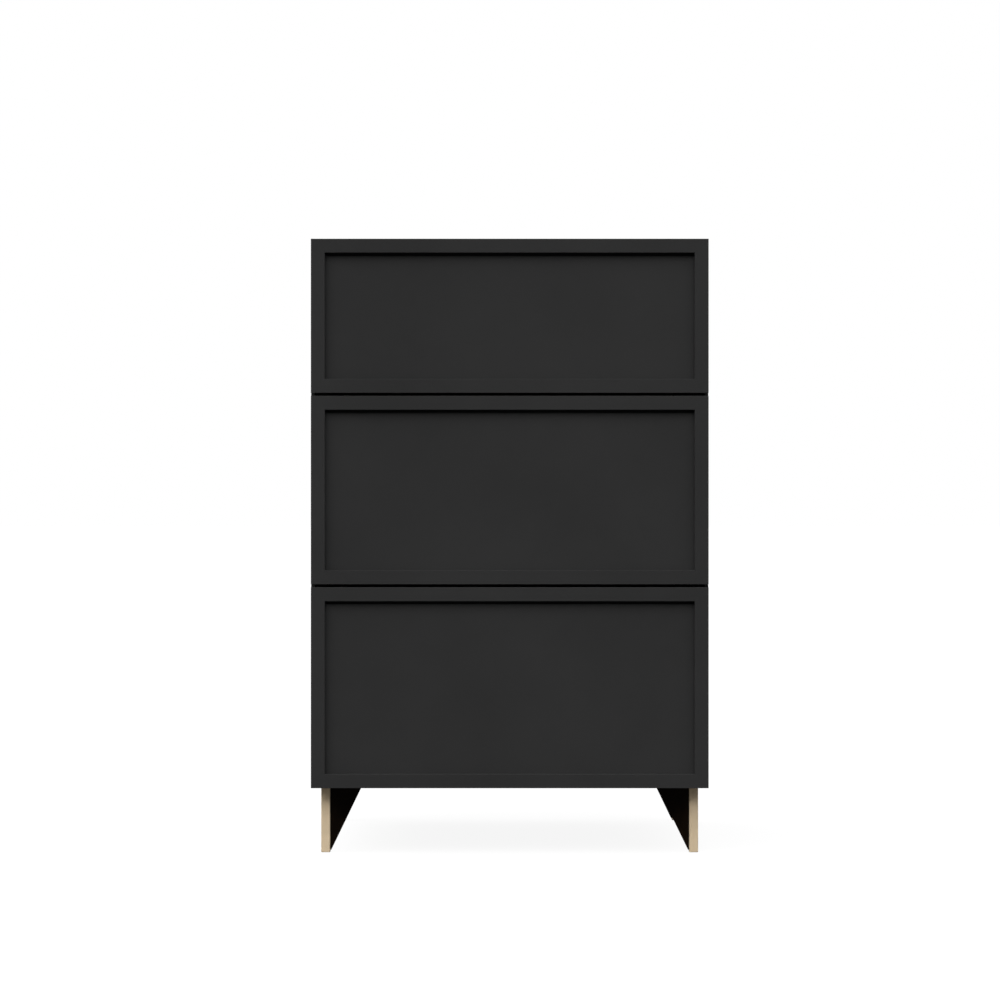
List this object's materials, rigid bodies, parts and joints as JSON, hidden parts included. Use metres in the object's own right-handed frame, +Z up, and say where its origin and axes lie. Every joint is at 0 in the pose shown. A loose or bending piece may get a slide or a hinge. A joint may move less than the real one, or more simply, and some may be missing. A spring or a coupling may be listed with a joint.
{
  "type": "nightstand with drawers",
  "caption": "Slim bedside cabinet with stacked framed drawers that open on a push, on short square metal legs with diagonal fins.",
  "frame": {"origin": "on the floor, under the middle of the whole cabinet's box", "axes": "+Z up, -Y out of the drawer fronts, +X to the right of someone facing the fronts"},
  "size_m": [0.4, 0.38, 0.6195],
  "materials": {
    "black_lacquer": "matte black lacquer on fibreboard",
    "back_board": "thin hardboard, black on the outside",
    "drawer_board": "walnut-faced board, satin",
    "drawer_bottom": "walnut-faced hardboard, satin",
    "zinc_steel": "bright zinc plating",
    "black_steel": "black oxide screws",
    "brass": "brushed champagne brass",
    "blackened_bronze": "blackened bronze, matte",
    "latch_plastic": "moulded grey plastic",
    "plunger_plastic": "moulded pale plastic"
  },
  "bodies": {
    "carcass": {"side_panel_left": "black_lacquer", "side_panel_right": "black_lacquer", "top_panel": "black_lacquer", "bottom_panel": "black_lacquer", "back_panel": "back_board", "cam_locks": "zinc_steel", "cam_bolts": "zinc_steel", "runner_screws": "zinc_steel", "leg_screws": "black_steel", "leg_post_front_left": "brass", "leg_bracket_front_left": "blackened_bronze", "leg_post_rear_left": "brass", "leg_bracket_rear_left": "blackened_bronze", "leg_post_front_right": "brass", "leg_bracket_front_right": "blackened_bronze", "leg_post_rear_right": "brass", "leg_bracket_rear_right": "blackened_bronze", "push_latch_housings": "latch_plastic", "runner_outer_bottom_left": "zinc_steel", "runner_outer_bottom_right": "zinc_steel", "runner_outer_middle_left": "zinc_steel", "runner_outer_middle_right": "zinc_steel", "runner_outer_top_left": "zinc_steel", "runner_outer_top_right": "zinc_steel"},
    "drawer_bottom": {"front_frame_bottom": "black_lacquer", "front_panel_bottom": "black_lacquer", "box_front_bottom": "drawer_board", "box_back_bottom": "drawer_board", "box_left_bottom": "drawer_board", "box_right_bottom": "drawer_board", "box_bottom_bottom": "drawer_bottom", "drawer_screws_bottom": "zinc_steel", "runner_inner_bottom_left": "zinc_steel", "runner_inner_bottom_right": "zinc_steel"},
    "runner_bottom": {"runner_middle_bottom": "zinc_steel"},
    "plunger_bottom": {"latch_plunger_bottom": "plunger_plastic"},
    "drawer_middle": {"front_frame_middle": "black_lacquer", "front_panel_middle": "black_lacquer", "box_front_middle": "drawer_board", "box_back_middle": "drawer_board", "box_left_middle": "drawer_board", "box_right_middle": "drawer_board", "box_bottom_middle": "drawer_bottom", "drawer_screws_middle": "zinc_steel", "runner_inner_middle_left": "zinc_steel", "runner_inner_middle_right": "zinc_steel"},
    "runner_middle": {"runner_middle_middle": "zinc_steel"},
    "plunger_middle": {"latch_plunger_middle": "plunger_plastic"},
    "drawer_top": {"front_frame_top": "black_lacquer", "front_panel_top": "black_lacquer", "box_front_top": "drawer_board", "box_back_top": "drawer_board", "box_left_top": "drawer_board", "box_right_top": "drawer_board", "box_bottom_top": "drawer_bottom", "drawer_screws_top": "zinc_steel", "runner_inner_top_left": "zinc_steel", "runner_inner_top_right": "zinc_steel"},
    "runner_top": {"runner_middle_top": "zinc_steel"},
    "plunger_top": {"latch_plunger_top": "plunger_plastic"}
  },
  "joints": [
    {"name": "drawer_bottom_slide", "type": "slide", "parent": "carcass", "child": "drawer_bottom", "axis": [0, -1, 0], "range_m": [0, 0.3]},
    {"name": "runner_bottom_slide", "type": "slide", "parent": "carcass", "child": "runner_bottom", "axis": [0, -1, 0], "range_m": [0, 0.15]},
    {"name": "latch_bottom_press", "type": "slide", "parent": "carcass", "child": "plunger_bottom", "axis": [0, 1, 0], "range_m": [0, 0.003], "stiffness_N_per_m": 300},
    {"name": "drawer_middle_slide", "type": "slide", "parent": "carcass", "child": "drawer_middle", "axis": [0, -1, 0], "range_m": [0, 0.3]},
    {"name": "runner_middle_slide", "type": "slide", "parent": "carcass", "child": "runner_middle", "axis": [0, -1, 0], "range_m": [0, 0.15]},
    {"name": "latch_middle_press", "type": "slide", "parent": "carcass", "child": "plunger_middle", "axis": [0, 1, 0], "range_m": [0, 0.003], "stiffness_N_per_m": 300},
    {"name": "drawer_top_slide", "type": "slide", "parent": "carcass", "child": "drawer_top", "axis": [0, -1, 0], "range_m": [0, 0.3]},
    {"name": "runner_top_slide", "type": "slide", "parent": "carcass", "child": "runner_top", "axis": [0, -1, 0], "range_m": [0, 0.15]},
    {"name": "latch_top_press", "type": "slide", "parent": "carcass", "child": "plunger_top", "axis": [0, 1, 0], "range_m": [0, 0.003], "stiffness_N_per_m": 300}
  ],
  "couplings": [
    {"joint": "runner_bottom_slide", "follows": "drawer_bottom_slide", "ratio": 0.5},
    {"joint": "runner_middle_slide", "follows": "drawer_middle_slide", "ratio": 0.5},
    {"joint": "runner_top_slide", "follows": "drawer_top_slide", "ratio": 0.5}
  ]
}
